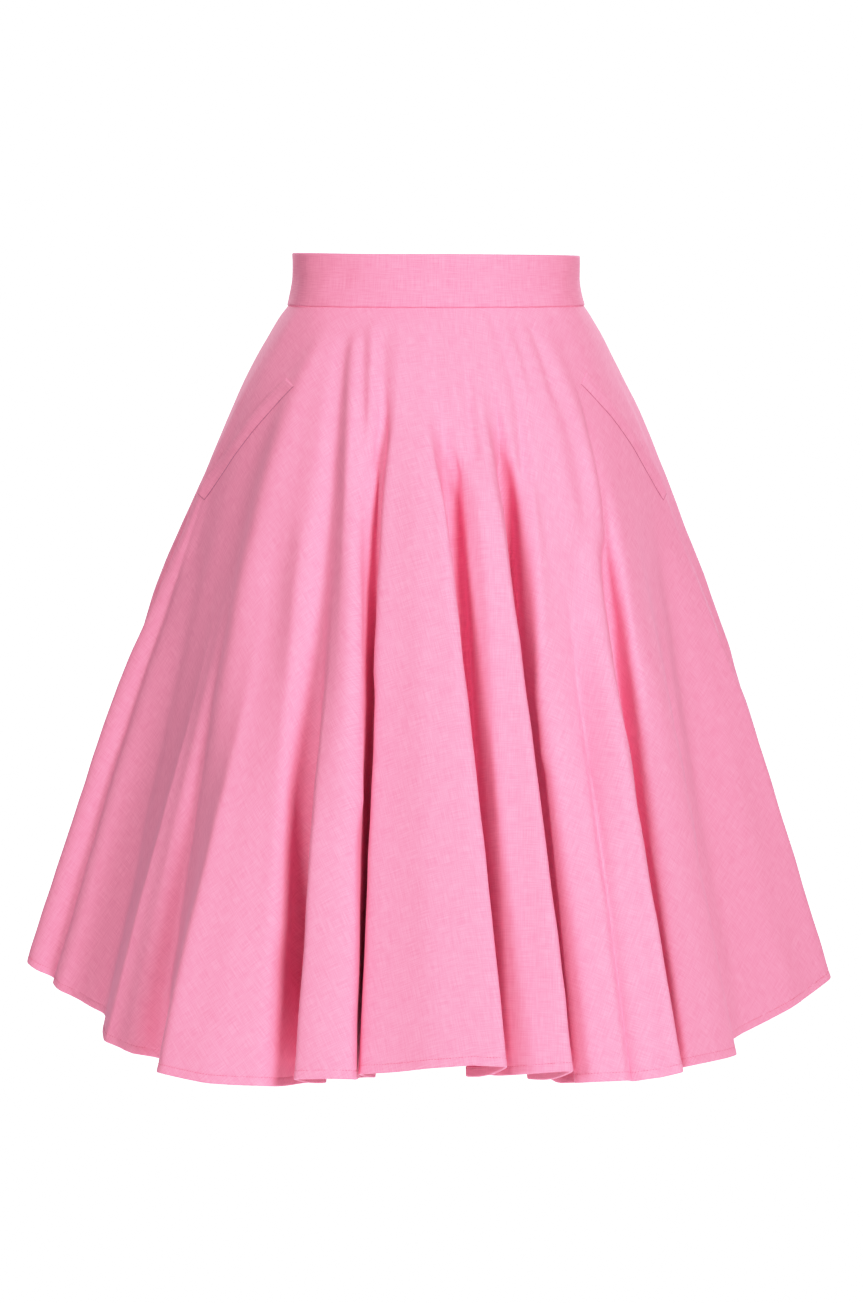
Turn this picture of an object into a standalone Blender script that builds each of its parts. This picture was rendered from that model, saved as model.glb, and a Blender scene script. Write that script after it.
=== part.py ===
"""Full-circle swing skirt, filled out as it hangs from a waist, with nobody in it.

Frame: the origin is the centre of the waist at half the waistband's height, +Z is up,
-Y is the front and +X is the wearer's left. Metres throughout.

The cloth follows its real cut. The flat skirt is a ring of cloth, cut as one half circle for
the front and two quarter circles for the back. A point of it has a cloth angle, 0 at centre
front and growing towards +X, and a distance below the waist seam. The seam is an ellipse and
the hem is one closed wavy line through the folds below. Each line of cloth from seam to hem
keeps its length, so a fold that swings out hangs higher than a tuck.
"""
import math

import bpy
import mathutils
import numpy as np

# Waistband: half widths across and front to back
BAND_TOP = (0.1228, 0.0930)
BAND_FOOT = (0.1276, 0.0970)
BAND_HEIGHT = 0.044
BAND_STRAIGHT = 0.45
BAND_FLARE_POWER = 1.5
BAND_WALL = 0.0026
BAND_COLUMNS = 72
BAND_ROWS = 6

# Skirt cloth, sprung out by the hips over a first share of the way down
SEAM_GAP = 0.0003
CLOTH_WALL = 0.0016
HIP_SPRING = 1.15
HIP_SHARE = 0.20

# The flat cut: the waist edge's radius, and the way from seam to hem that pockets are placed by
WAIST_RADIUS = 0.113
CUT_LENGTH = 0.640

# Rows of the walls, as shares of the way from seam to hem
ROW_SHARES = (0.0, 0.05, 0.11, 0.17, 0.23, 0.29, 0.38, 0.5, 0.63, 0.76, 0.88, 1.0)
# Largest turn of the hem between two columns, in degrees, and the panels' widest columns
LARGEST_TURN = 46.0
FRONT_STEP = 2.6
BACK_STEP = 4.0
# Edges that bend more than this are shaded sharp
SHARP_ANGLE = 40.0

# Folds of the front at the hem, from the wearer's right to the left. The corners where the crest
# of each begins and ends, and the bottom of the tuck after it, are in metres across (+X) and
# forward (-Y). The tuck starts at one share of the way down and is full at another. The last
# column is the length of the cloth at the crest, which drops where it hangs on the bias.
FRONT_FOLDS = (
    # name, crest start, crest end, tuck, tuck width, starts, full, length
    ("right flank", (-0.372, -0.002), (-0.352, 0.020), (-0.339, 0.022), 0.012, 0.02, 0.70, 0.636),
    ("right side", (-0.322, 0.036), (-0.298, 0.066), (-0.288, 0.074), 0.010, 0.24, 0.96, 0.639),
    ("right pocket", (-0.282, 0.172), (-0.240, 0.184), (-0.226, 0.190), 0.010, 0.25, 0.90, 0.644),
    ("right panel", (-0.222, 0.288), (-0.134, 0.318), (-0.096, 0.272), 0.020, 0.42, 1.02, 0.652),
    ("right of centre", (-0.1125, 0.336), (-0.063, 0.346), (-0.054, 0.284), 0.014, 0.15, 0.36, 0.641),
    ("centre", (-0.062, 0.334), (0.056, 0.374), (0.032, 0.290), 0.016, 0.15, 0.38, 0.634),
    ("left of centre", (0.054, 0.332), (0.107, 0.350), (0.082, 0.242), 0.014, 0.14, 0.37, 0.638),
    ("left panel", (0.099, 0.322), (0.149, 0.330), (0.150, 0.319), 0.006, 0.40, 0.80, 0.645),
    ("left edge", (0.154, 0.326), (0.194, 0.328), (0.174, 0.250), 0.014, 0.08, 0.32, 0.649),
    ("left pocket", (0.198, 0.292), (0.244, 0.248), (0.230, 0.185), 0.020, 0.25, 0.80, 0.643),
    ("left side", (0.256, 0.132), (0.354, 0.032), (0.310, -0.010), 0.020, 0.02, 0.62, 0.637),
)
# Folds that slant across the cloth: the cloth angles over which each slant rises, holds and fades,
# and how far it turns them at the waist, in degrees. It dies away towards the hem.
SLANTS = (
    # name, rises from, holds from, fades from, ends, turn
    ("right of centre", -42.0, -35.0, -26.0, -20.0, -4.0),
    ("centre", -15.0, -9.0, 3.0, 10.0, -3.5),
    ("left edge", 18.0, 44.0, 52.0, 78.0, 12.0),
)
SLANT_POWER = 1.7
# The row of the folds whose tuck holds centre front
CENTRE_ROW = 5

# Folds round the back, evenly spaced between the two flanks
BACK_FOLDS = (
    # crest reach, crest width, tuck reach, starts, full, length
    (0.366, 0.062, 0.262, 0.14, 0.48, 0.637),
    (0.356, 0.072, 0.262, 0.08, 0.36, 0.642),
    (0.350, 0.058, 0.248, 0.10, 0.33, 0.646),
    (0.342, 0.074, 0.252, 0.12, 0.40, 0.641),
    (0.340, 0.062, 0.240, 0.07, 0.30, 0.636),
    (0.346, 0.068, 0.248, 0.10, 0.36, 0.636),
    (0.342, 0.060, 0.244, 0.13, 0.42, 0.641),
    (0.351, 0.072, 0.256, 0.09, 0.34, 0.646),
    (0.358, 0.064, 0.256, 0.11, 0.38, 0.642),
    (0.366, 0.068, 0.280, 0.16, 0.52, 0.637),
)
BACK_FROM = 103.0
BACK_TO = 262.0
BACK_TUCK_WIDTH = 0.024
# How far a crest's middle stands out, as a share of its width
CREST_BOW = 0.07
# Width of the running mean that rounds the corners of the folds
ROUNDING = 0.014
# Points round the hem, and how many each way the mean line that the folds swing about is over
HEM_POINTS = 3600
MEAN_WINDOW = 150
# Steps from seam to hem in which a line of cloth is laid out, and steps round an ellipse
CLOTH_STEPS = 200
GIRTH_STEPS = 7200

# Welts of the slanted pockets, by the ends of their seam in the flat half circle of the front:
# metres across and forward of the waist's centre
WELTS = (
    # name, lower end, upper end
    ("pocket_welt_right", (-0.281, 0.099), (-0.143, 0.125)),
    ("pocket_welt_left", (0.273, 0.122), (0.140, 0.125)),
)
WELT_WIDTH = 0.0185
WELT_THICKNESS = 0.0012
WELT_LIFT = 0.0007
WELT_COLUMNS = 32
WELT_ROWS = 7

# Concealed zip behind the seam at centre back: its tape, the coil on it, and its slider and pull
TAPE_TOP = 0.018
TAPE_BAND_FOOT_SHARE = 0.97
TAPE_CLOTH_TOP_SHARE = 0.01
TAPE_FOOT_SHARE = 0.24
TAPE_DEPTH = 0.0019
TAPE_THICKNESS = 0.0008
TAPE_HALF_WIDTH = 0.0120
COIL_HALF_WIDTH = 0.0018
COIL_FOOT_HALF_WIDTH = 0.0022
COIL_THICKNESS = 0.0016
SLIDER_SIZE = (0.0064, 0.0022, 0.0115)
SLIDER_HEIGHT = 0.0105
SLIDER_ROUNDING = 0.0007
LUG_SIZE = (0.0012, 0.0036, 0.0034)
LUG_ACROSS = 0.0023
LUG_SUNK = 0.0003
LUG_ROUNDING = 0.0003
PULL_AXIS_OUT = 0.0021
PULL_AXIS_HEIGHT = 0.0105
PIN_RADIUS = 0.0006
KNUCKLE_HOLE = 0.0009
KNUCKLE_RADIUS = 0.0015
KNUCKLE_WIDTH = 0.0026
PLATE_DROP = 0.0025
NECK_LENGTH = 0.0033
PULL_SIZE = (0.0052, 0.0012, 0.0180)
PULL_ROUNDING = 0.0005


def ellipse(half_sizes, turn):
    """Point of an ellipse, turn in radians from the front towards +X."""
    return np.stack([half_sizes[0] * np.sin(turn), -half_sizes[1] * np.cos(turn)], axis=-1)


def even_turn(half_sizes, angle):
    """Turn at which an ellipse's girth, from centre front, reaches a share of 360 degrees."""
    turns = np.linspace(-math.pi, math.pi, GIRTH_STEPS + 1)
    steps = np.linalg.norm(np.diff(ellipse(half_sizes, turns), axis=0), axis=1)
    girth = np.concatenate([[0.0], np.cumsum(steps)])
    degrees = (girth / girth[-1] - 0.5) * 360.0
    return np.interp(angle, degrees, turns)


def running_mean(line, window):
    """A closed line of points averaged twice over a window, given as a count each way."""
    for _ in range(2):
        padded = np.concatenate([line[-window:], line, line[:window]])
        total = np.concatenate([[[0.0, 0.0]], np.cumsum(padded, axis=0)])
        line = (total[2 * window + 1:] - total[:-2 * window - 1]) / (2 * window + 1)
    return line


def even_line(points, count):
    """A closed line of points resampled at even lengths, and its girth."""
    loop = np.concatenate([points, points[:1]])
    run = np.concatenate([[0.0], np.cumsum(np.linalg.norm(np.diff(loop, axis=0), axis=1))])
    place = np.arange(count) / count * run[-1]
    return np.stack([np.interp(place, run, loop[:, k]) for k in (0, 1)], axis=-1), run[-1]


def tuck_pair(tuck, width):
    """The two corners of a tuck's bottom, square to the line from the axis."""
    side = np.array([-tuck[1], tuck[0]]) / np.linalg.norm(tuck)
    return [tuck - 0.5 * width * side, tuck + 0.5 * width * side]


def crest_points(start, end):
    """A crest's two corners with its rounded middle between them."""
    across = end - start
    middle = 0.5 * (start + end) + CREST_BOW * np.array([across[1], -across[0]])
    return [start, middle, end]


def fold_corners():
    """Corners of the hem in order round the skirt: three for a crest, two for a tuck."""
    corners = []
    for _, start, end, tuck, width, *_ in FRONT_FOLDS:
        start, end, tuck = (np.array([across, -forward]) for across, forward in (start, end, tuck))
        corners += crest_points(start, end) + tuck_pair(tuck, width)
    step = math.radians(BACK_TO - BACK_FROM) / len(BACK_FOLDS)
    for number, (reach, width, tuck_reach, *_) in enumerate(BACK_FOLDS):
        middle = math.radians(BACK_FROM) + (number + 0.5) * step
        half = 0.5 * width / reach
        tuck = ellipse((tuck_reach, tuck_reach), middle + 0.5 * step)
        corners += crest_points(ellipse((reach, reach), middle - half),
                                ellipse((reach, reach), middle + half))
        corners += tuck_pair(tuck, BACK_TUCK_WIDTH)
    return np.array(corners)


def hem_line():
    """Cloth angles round the hem from centre back, and the rounded hem line's point at each."""
    line, girth = even_line(fold_corners(), HEM_POINTS)
    line = running_mean(line, int(0.5 * ROUNDING / girth * HEM_POINTS))
    line, girth = even_line(line, HEM_POINTS)
    centre = FRONT_FOLDS[CENTRE_ROW][3]
    gap = np.linalg.norm(line - np.array([centre[0], -centre[1]]), axis=1)
    line = np.roll(line, HEM_POINTS // 2 - int(np.argmin(gap)), axis=0)
    return np.arange(HEM_POINTS) / HEM_POINTS * 360.0 - 180.0, line


def round_hem(column, places):
    """Values of one of the tables' last columns, spread round the hem between given places."""
    values = np.array([fold[column] for fold in FRONT_FOLDS + BACK_FOLDS])
    order = np.argsort(places)
    return np.interp(HEM_ANGLES, places[order], values[order], period=360.0)


def hem_places(corner):
    """Cloth angles at which the folds' crests (corner 1) or tucks (corner 3) lie."""
    points = fold_corners().reshape(-1, 5, 2)[:, corner]
    return np.array([HEM_ANGLES[np.argmin(np.linalg.norm(HEM_LINE - point, axis=1))]
                     for point in points])


HEM_ANGLES, HEM_LINE = hem_line()
MEAN_LINE = running_mean(HEM_LINE, MEAN_WINDOW)
FOLD_STARTS = round_hem(-3, hem_places(3))
FOLD_FULLS = round_hem(-2, hem_places(3))
CLOTH_LENGTHS = round_hem(-1, hem_places(1))
FINE_SHARES = np.linspace(0.0, 1.0, CLOTH_STEPS + 1)


def around(line, angle):
    """Point of a closed line at a cloth angle in degrees."""
    wrapped = (np.asarray(angle) + 180.0) % 360.0 - 180.0
    angles = np.append(HEM_ANGLES, 180.0)
    loop = np.concatenate([line, line[:1]])
    return np.stack([np.interp(wrapped, angles, loop[:, k]) for k in (0, 1)], axis=-1)


def smooth(value):
    """Ease from 0 to 1 as a value goes from 0 to 1."""
    value = np.clip(value, 0.0, 1.0)
    return value * value * (3.0 - 2.0 * value)


def slant(angle):
    """How far the folds' pattern is turned at the waist, at each cloth angle."""
    turn = np.zeros(len(angle))
    for _, rises, holds, fades, ends, most in SLANTS:
        turn += most * smooth((angle - rises) / (holds - rises)) * smooth((ends - angle) / (ends - fades))
    return turn


def cloth(angle):
    """Middle surface of the skirt: for each cloth angle, a line of points from seam to hem."""
    angle = np.atleast_1d(np.asarray(angle, float))
    share = FINE_SHARES
    spread = share + HIP_SPRING * HIP_SHARE * np.vectorize(math.erf)(share / HIP_SHARE)
    spread /= spread[-1]
    seam = ellipse(BAND_FOOT, even_turn(BAND_FOOT, (angle + 180.0) % 360.0 - 180.0))
    mean = around(MEAN_LINE, angle)
    slanted = angle[:, None] - slant(angle)[:, None] * (1.0 - share) ** SLANT_POWER
    fold = around(HEM_LINE, slanted) - around(MEAN_LINE, slanted)
    starts, fulls = (np.interp(slanted, HEM_ANGLES, values, period=360.0)
                     for values in (FOLD_STARTS, FOLD_FULLS))
    length = np.interp(angle, HEM_ANGLES, CLOTH_LENGTHS, period=360.0)
    depth = 0.5 * (share + spread) * smooth((share - starts) / (fulls - starts))
    flat = (seam[:, None] + (mean - seam)[:, None] * spread[None, :, None]
            + fold * depth[:, :, None])
    step = length[:, None] / CLOTH_STEPS
    moved = np.linalg.norm(np.diff(flat, axis=1), axis=-1)
    fall = np.sqrt(np.maximum(step ** 2 - moved ** 2, 0.0))
    drop = np.concatenate([np.zeros((len(angle), 1)), np.cumsum(fall, axis=1)], axis=1)
    top = -0.5 * BAND_HEIGHT - SEAM_GAP
    return np.concatenate([flat, (top - drop)[:, :, None]], axis=-1)


def on_cloth(angle, shares, outward):
    """Points of the cloth at shares of the way to the hem, moved out along its normal.

    There is one line of cloth for each angle. The shares are the same for every line, or an
    array with a row for each. At the waist seam a point moves out level, under the band."""
    nudge = 0.25
    angle = np.atleast_1d(np.asarray(angle, float))
    middle = cloth(angle)
    along = cloth(angle + nudge) - cloth(angle - nudge)
    normal = np.cross(np.gradient(middle, axis=1), along)
    normal[:, 0, 2] = 0.0
    normal /= np.linalg.norm(normal, axis=-1, keepdims=True)
    moved = middle + outward * normal
    shares = np.broadcast_to(shares, (len(angle), np.shape(shares)[-1]))
    place = shares * CLOTH_STEPS
    low = np.minimum(place.astype(int), CLOTH_STEPS - 1)
    part = (place - low)[:, :, None]
    line = np.arange(len(angle))[:, None]
    return moved[line, low] * (1.0 - part) + moved[line, low + 1] * part


def plain_material(name, colour, roughness, metallic):
    """Principled material of one colour."""
    material = bpy.data.materials.new(name)
    material.use_nodes = True
    shader = material.node_tree.nodes["Principled BSDF"]
    shader.inputs["Base Color"].default_value = (*colour, 1.0)
    shader.inputs["Roughness"].default_value = roughness
    shader.inputs["Metallic"].default_value = metallic
    material.diffuse_color = (*colour, 1.0)
    return material


def closed_wall(name, outer, inner, material):
    """Closed solid between two grids of points, columns by rows, split along one diagonal."""
    columns, rows = outer.shape[:2]
    points = np.concatenate([outer.reshape(-1, 3), inner.reshape(-1, 3)])
    shift = columns * rows

    def quad(a, b, c, d):
        return [(a, b, c), (a, c, d)]

    faces = []
    for i in range(columns - 1):
        for j in range(rows - 1):
            a, b = i * rows + j, i * rows + j + 1
            c, d = (i + 1) * rows + j + 1, (i + 1) * rows + j
            faces += quad(a, b, c, d)
            faces += [(x + shift, z + shift, y + shift) for x, y, z in quad(a, b, c, d)]
    for i in range(columns - 1):
        top, foot = i * rows, i * rows + rows - 1
        faces += quad(top, top + rows, top + rows + shift, top + shift)
        faces += quad(foot + shift, foot + rows + shift, foot + rows, foot)
    for j in range(rows - 1):
        first, last = j, (columns - 1) * rows + j
        faces += quad(first, first + shift, first + 1 + shift, first + 1)
        faces += quad(last, last + 1, last + 1 + shift, last + shift)
    mesh = bpy.data.meshes.new(name)
    mesh.from_pydata([tuple(p) for p in points], [], faces)
    mesh.materials.append(material)
    mesh.shade_smooth()
    mesh.set_sharp_from_angle(angle=math.radians(SHARP_ANGLE))
    body = bpy.data.objects.new(name, mesh)
    bpy.context.scene.collection.objects.link(body)
    return body


def fold_columns(start, end, largest_turn, longest_step):
    """Cloth angles of a panel's columns, closer together where the hem bends."""
    step = 0.1
    angles = np.arange(start, end + 0.5 * step, step)
    line = around(HEM_LINE, angles)
    heading = np.unwrap(np.arctan2(*np.gradient(line, axis=0).T[::-1]))
    cost = np.abs(np.gradient(heading)) / math.radians(largest_turn) + step / longest_step
    total = np.concatenate([[0.0], np.cumsum(0.5 * (cost[1:] + cost[:-1]))])
    count = int(math.ceil(total[-1]))
    return np.interp(np.linspace(0.0, total[-1], count + 1), total, angles)


def slid(points, towards):
    """Points moved half a seam gap towards others."""
    way = towards - points
    return points + 0.5 * SEAM_GAP * way / np.linalg.norm(way, axis=-1, keepdims=True)


def make_panel(name, start, end, longest_step, material):
    """One cut panel of the skirt between two seams, given as cloth angles.

    Gives back the angles of its columns and the points of its outer side."""
    columns = fold_columns(start, end, LARGEST_TURN, longest_step)
    sides = []
    for outward in (0.5 * CLOTH_WALL, -0.5 * CLOTH_WALL):
        points = on_cloth(columns, ROW_SHARES, outward)
        points[0] = slid(points[0], points[1])
        points[-1] = slid(points[-1], points[-2])
        sides.append(points)
    closed_wall(name, sides[0], sides[1], material)
    return columns, sides[0]


def on_panel(panel, angle, share):
    """Points on the flat faces of a panel's outer side."""
    columns, grid = panel
    shares = np.array(ROW_SHARES)
    i = np.clip(np.searchsorted(columns, angle) - 1, 0, len(columns) - 2)
    j = np.clip(np.searchsorted(shares, share) - 1, 0, len(shares) - 2)
    across = ((angle - columns[i]) / (columns[i + 1] - columns[i]))[:, None]
    down = ((share - shares[j]) / (shares[j + 1] - shares[j]))[:, None]
    a, b, c, d = grid[i, j], grid[i, j + 1], grid[i + 1, j + 1], grid[i + 1, j]
    return a + np.where(down > across, down * (b - a) + across * (c - b),
                        across * (d - a) + down * (c - d))


def band_half_sizes(share):
    """Half widths of the waistband's middle at a share of the way down from its top."""
    flare = np.clip((share - BAND_STRAIGHT) / (1.0 - BAND_STRAIGHT), 0.0, 1.0)
    top, foot = np.array(BAND_TOP), np.array(BAND_FOOT)
    return top + (foot - top) * flare ** BAND_FLARE_POWER


def on_band(angle, shares, outward):
    """Points of the waistband at girth angles and at shares of the way down, moved out."""
    columns = []
    for share in shares:
        half_sizes = band_half_sizes(share)
        level = ellipse(half_sizes + outward, even_turn(half_sizes, angle))
        height = np.full(len(angle), BAND_HEIGHT * (0.5 - share))
        columns.append(np.concatenate([level, height[:, None]], axis=-1))
    return np.stack(columns, axis=1)


def make_waistband(material):
    """The one-piece band, open at centre back where the zip closes it."""
    girth = 2.0 * math.pi * math.sqrt(0.5 * (BAND_TOP[0] ** 2 + BAND_TOP[1] ** 2))
    trim = 360.0 * 0.5 * SEAM_GAP / girth
    angle = np.linspace(-180.0 + trim, 180.0 - trim, BAND_COLUMNS + 1)
    shares = np.concatenate([[0.0], np.linspace(BAND_STRAIGHT, 1.0, BAND_ROWS - 1)])
    outer = on_band(angle, shares, 0.5 * BAND_WALL)
    inner = on_band(angle, shares, -0.5 * BAND_WALL)
    return closed_wall("waistband", outer, inner, material)


def make_welt(name, panel, lower, upper, material):
    """Folded strip on the front panel along a pocket's mouth, its free edge towards the side."""
    lower, upper = np.array(lower), np.array(upper)
    way = (upper - lower) / np.linalg.norm(upper - lower)
    outwards = np.array([abs(way[1]), -abs(way[0])]) * (math.copysign(1.0, lower[0]), 1.0)
    along = np.linspace(0.0, 1.0, WELT_COLUMNS + 1)[:, None, None]
    across = np.linspace(0.0, WELT_WIDTH, WELT_ROWS)[None, :, None]
    flat = lower + along * (upper - lower) + across * outwards
    if lower[0] > 0.0:
        flat = flat[::-1]
    angle = np.degrees(np.arctan2(flat[..., 0], flat[..., 1]))
    share = (np.linalg.norm(flat, axis=-1) - WAIST_RADIUS) / CUT_LENGTH
    base = on_panel(panel, angle.ravel(), share.ravel())
    normal = np.subtract(*(on_cloth(angle.ravel(), share.reshape(-1, 1), out) for out in (1.0, 0.0)))
    sides = []
    for lift in (WELT_LIFT + WELT_THICKNESS, WELT_LIFT):
        points = base + lift * normal[:, 0]
        sides.append(points.reshape(*angle.shape, 3)[:, ::-1])
    return closed_wall(name, sides[0], sides[1], material)


def make_tape(material):
    """Zip tape behind the band and the seam at centre back, with its coil as a ridge."""
    half = np.array([COIL_HALF_WIDTH, COIL_FOOT_HALF_WIDTH, 0.5 * TAPE_HALF_WIDTH, TAPE_HALF_WIDTH])
    across = np.concatenate([-half[::-1], half])
    ridge = np.where(np.abs(across) <= COIL_HALF_WIDTH, COIL_THICKNESS, 0.0)
    top_share = 0.5 - TAPE_TOP / BAND_HEIGHT
    band_shares = np.linspace(top_share, TAPE_BAND_FOOT_SHARE, 6)
    cloth_shares = np.linspace(TAPE_CLOTH_TOP_SHARE, TAPE_FOOT_SHARE, 12)
    band_radius = math.sqrt(0.5 * (BAND_TOP[0] ** 2 + BAND_TOP[1] ** 2))
    sides = []
    for inward in (np.full(len(across), TAPE_DEPTH), TAPE_DEPTH + TAPE_THICKNESS + ridge):
        columns = []
        for place, depth in zip(across, inward):
            band_angle = np.array([180.0 + math.degrees(place / band_radius)])
            wrapped = (band_angle + 180.0) % 360.0 - 180.0
            rows = [on_band(wrapped, band_shares, -depth)[0]]
            for share in cloth_shares:
                radius = WAIST_RADIUS + share * CUT_LENGTH
                angle = 180.0 + math.degrees(place / radius)
                rows.append(on_cloth(angle, [share], -depth)[0])
            columns.append(np.concatenate(rows))
        sides.append(np.stack(columns))
    return closed_wall("zip_tape", sides[0], sides[1], material)


def block(name, size, place, bevel=0.0):
    """A box centred at a place, its edges rounded by a bevel."""
    bpy.ops.mesh.primitive_cube_add(size=1.0, location=place)
    body = bpy.context.object
    body.name = name
    body.scale = size
    bpy.ops.object.transform_apply(location=False, rotation=False, scale=True)
    if bevel:
        rounding = body.modifiers.new("rounding", "BEVEL")
        rounding.width = bevel
        rounding.segments = 2
    return body


def rod(name, radius, length, place):
    """A cylinder along X centred at a place."""
    bpy.ops.mesh.primitive_cylinder_add(vertices=16, radius=radius, depth=length, location=place,
                                        rotation=(0.0, math.radians(90.0), 0.0))
    body = bpy.context.object
    body.name = name
    return body


def combine(body, tool, operation):
    """Join a tool to a body, or cut it out, and leave the body alone."""
    bpy.context.view_layer.objects.active = body
    step = body.modifiers.new(operation.lower(), "BOOLEAN")
    step.operation = operation
    step.object = tool
    for modifier in list(body.modifiers):
        bpy.ops.object.modifier_apply(modifier=modifier.name)
    bpy.data.objects.remove(tool)


def make_slider(material):
    """Zip slider outside the band, with two lugs and the pin that its pull turns on."""
    face = BAND_TOP[1] + 0.5 * BAND_WALL + SEAM_GAP
    size = SLIDER_SIZE
    body = block("zip_slider", size, (0.0, face + 0.5 * size[1], SLIDER_HEIGHT), SLIDER_ROUNDING)
    lug_out = face + size[1] + 0.5 * LUG_SIZE[1] - LUG_SUNK
    for side in (-1.0, 1.0):
        place = (side * LUG_ACROSS, lug_out, PULL_AXIS_HEIGHT)
        combine(body, block("lug", LUG_SIZE, place, LUG_ROUNDING), "UNION")
    axis = (0.0, face + size[1] + PULL_AXIS_OUT, PULL_AXIS_HEIGHT)
    combine(body, rod("pin", PIN_RADIUS, 2.0 * LUG_ACROSS, axis), "UNION")
    body.data.materials.append(material)
    return axis


def make_pull(axis, material):
    """Pull tab that hangs from the slider's pin by a knuckle, its origin on the pin's axis."""
    size = PULL_SIZE
    drop = PLATE_DROP + 0.5 * size[2]
    body = block("zip_pull", size, (axis[0], axis[1], axis[2] - drop), PULL_ROUNDING)
    neck = block("neck", (KNUCKLE_WIDTH, size[1], NECK_LENGTH),
                 (axis[0], axis[1], axis[2] - 0.5 * NECK_LENGTH))
    combine(body, neck, "UNION")
    combine(body, rod("knuckle", KNUCKLE_RADIUS, KNUCKLE_WIDTH, axis), "UNION")
    combine(body, rod("hole", KNUCKLE_HOLE, 2.0 * KNUCKLE_WIDTH, axis), "DIFFERENCE")
    body.data.transform(mathutils.Matrix.Translation(body.location - mathutils.Vector(axis)))
    body.location = axis
    body.data.materials.append(material)


for startup_object in list(bpy.data.objects):
    bpy.data.objects.remove(startup_object)

pink_cloth = plain_material("pink_woven_cloth", (0.90, 0.28, 0.46), 0.85, 0.0)
pink_tape = plain_material("pink_zip_tape", (0.86, 0.30, 0.45), 0.75, 0.0)
pink_metal = plain_material("pink_lacquered_metal", (0.85, 0.32, 0.46), 0.35, 0.0)
make_waistband(pink_cloth)
front = make_panel("skirt_front", -90.0, 90.0, FRONT_STEP, pink_cloth)
make_panel("skirt_back_left", 90.0, 180.0, BACK_STEP, pink_cloth)
make_panel("skirt_back_right", 180.0, 270.0, BACK_STEP, pink_cloth)
for welt_name, welt_lower, welt_upper in WELTS:
    make_welt(welt_name, front, welt_lower, welt_upper, pink_cloth)
make_tape(pink_tape)
make_pull(make_slider(pink_metal), pink_metal)
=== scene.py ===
"""Looks of a full-circle swing skirt, filled out as it hangs from a waist, with nobody in it.

The cut, the sizes and the folds are the part's own: the origin is the centre of the waist at half
the band's height, +Z is up, -Y is the front and +X is the wearer's left. Metres throughout. Each
shell lies on its solid's form, finer, with its creases, hems, seams, stitches and weave.
"""
import math

import bpy
import numpy as np
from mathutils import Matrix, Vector


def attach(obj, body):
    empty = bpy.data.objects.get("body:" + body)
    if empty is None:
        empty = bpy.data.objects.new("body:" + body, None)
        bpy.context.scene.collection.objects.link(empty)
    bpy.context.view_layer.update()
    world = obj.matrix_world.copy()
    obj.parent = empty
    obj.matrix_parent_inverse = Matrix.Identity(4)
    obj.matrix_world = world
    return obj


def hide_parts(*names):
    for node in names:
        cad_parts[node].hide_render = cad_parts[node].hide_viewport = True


# The body that every piece here rides on
BODY = "skirt"

# Waistband: half widths across and front to back, height, and wall
BAND_TOP = (0.1228, 0.0930)
BAND_FOOT = (0.1276, 0.0970)
BAND_HEIGHT = 0.044
BAND_STRAIGHT = 0.45
BAND_WALL = 0.0026
BAND_RADIUS = math.sqrt(0.5 * (BAND_TOP[0] ** 2 + BAND_TOP[1] ** 2))
# How the band flares below its straight part, and how far its edges roll over
BAND_FLARE_POWER = 1.5
BAND_EDGE = 0.0014
# How far its top edge tilts down to the wearer's left and wavers, and how much its face waves
BAND_TILT = 0.0009
BAND_WAVER = 0.0003
BAND_WAVE = 0.0003

# Skirt cloth: half its thickness, the gap at a seam, and how the skirt springs out at the hips
HALF_CLOTH = 0.0005
SEAM_GAP = 0.0003
HIP_SPRING = 1.15
HIP_SHARE = 0.20

# The flat cut: the waist edge's radius and the length below it
WAIST_RADIUS = 0.113
CUT_LENGTH = 0.640

# Panels: the solid that each replaces, its name, and the cloth angles of its two seams
PANELS = (
    ("skirt_front", "front_cloth", -90.0, 90.0),
    ("skirt_back_left", "back_left_cloth", 90.0, 180.0),
    ("skirt_back_right", "back_right_cloth", 180.0, 270.0),
)
# A panel's edge turned in at a seam: distances along the cloth and into it. The next column of
# the panel keeps clear of the seam by an angle.
SEAM_TURN_IN = ((0.5 * SEAM_GAP, 0.0006), (0.0005, 0.00018), (0.0012, 0.0))
SEAM_CLEAR = 1.1

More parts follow.
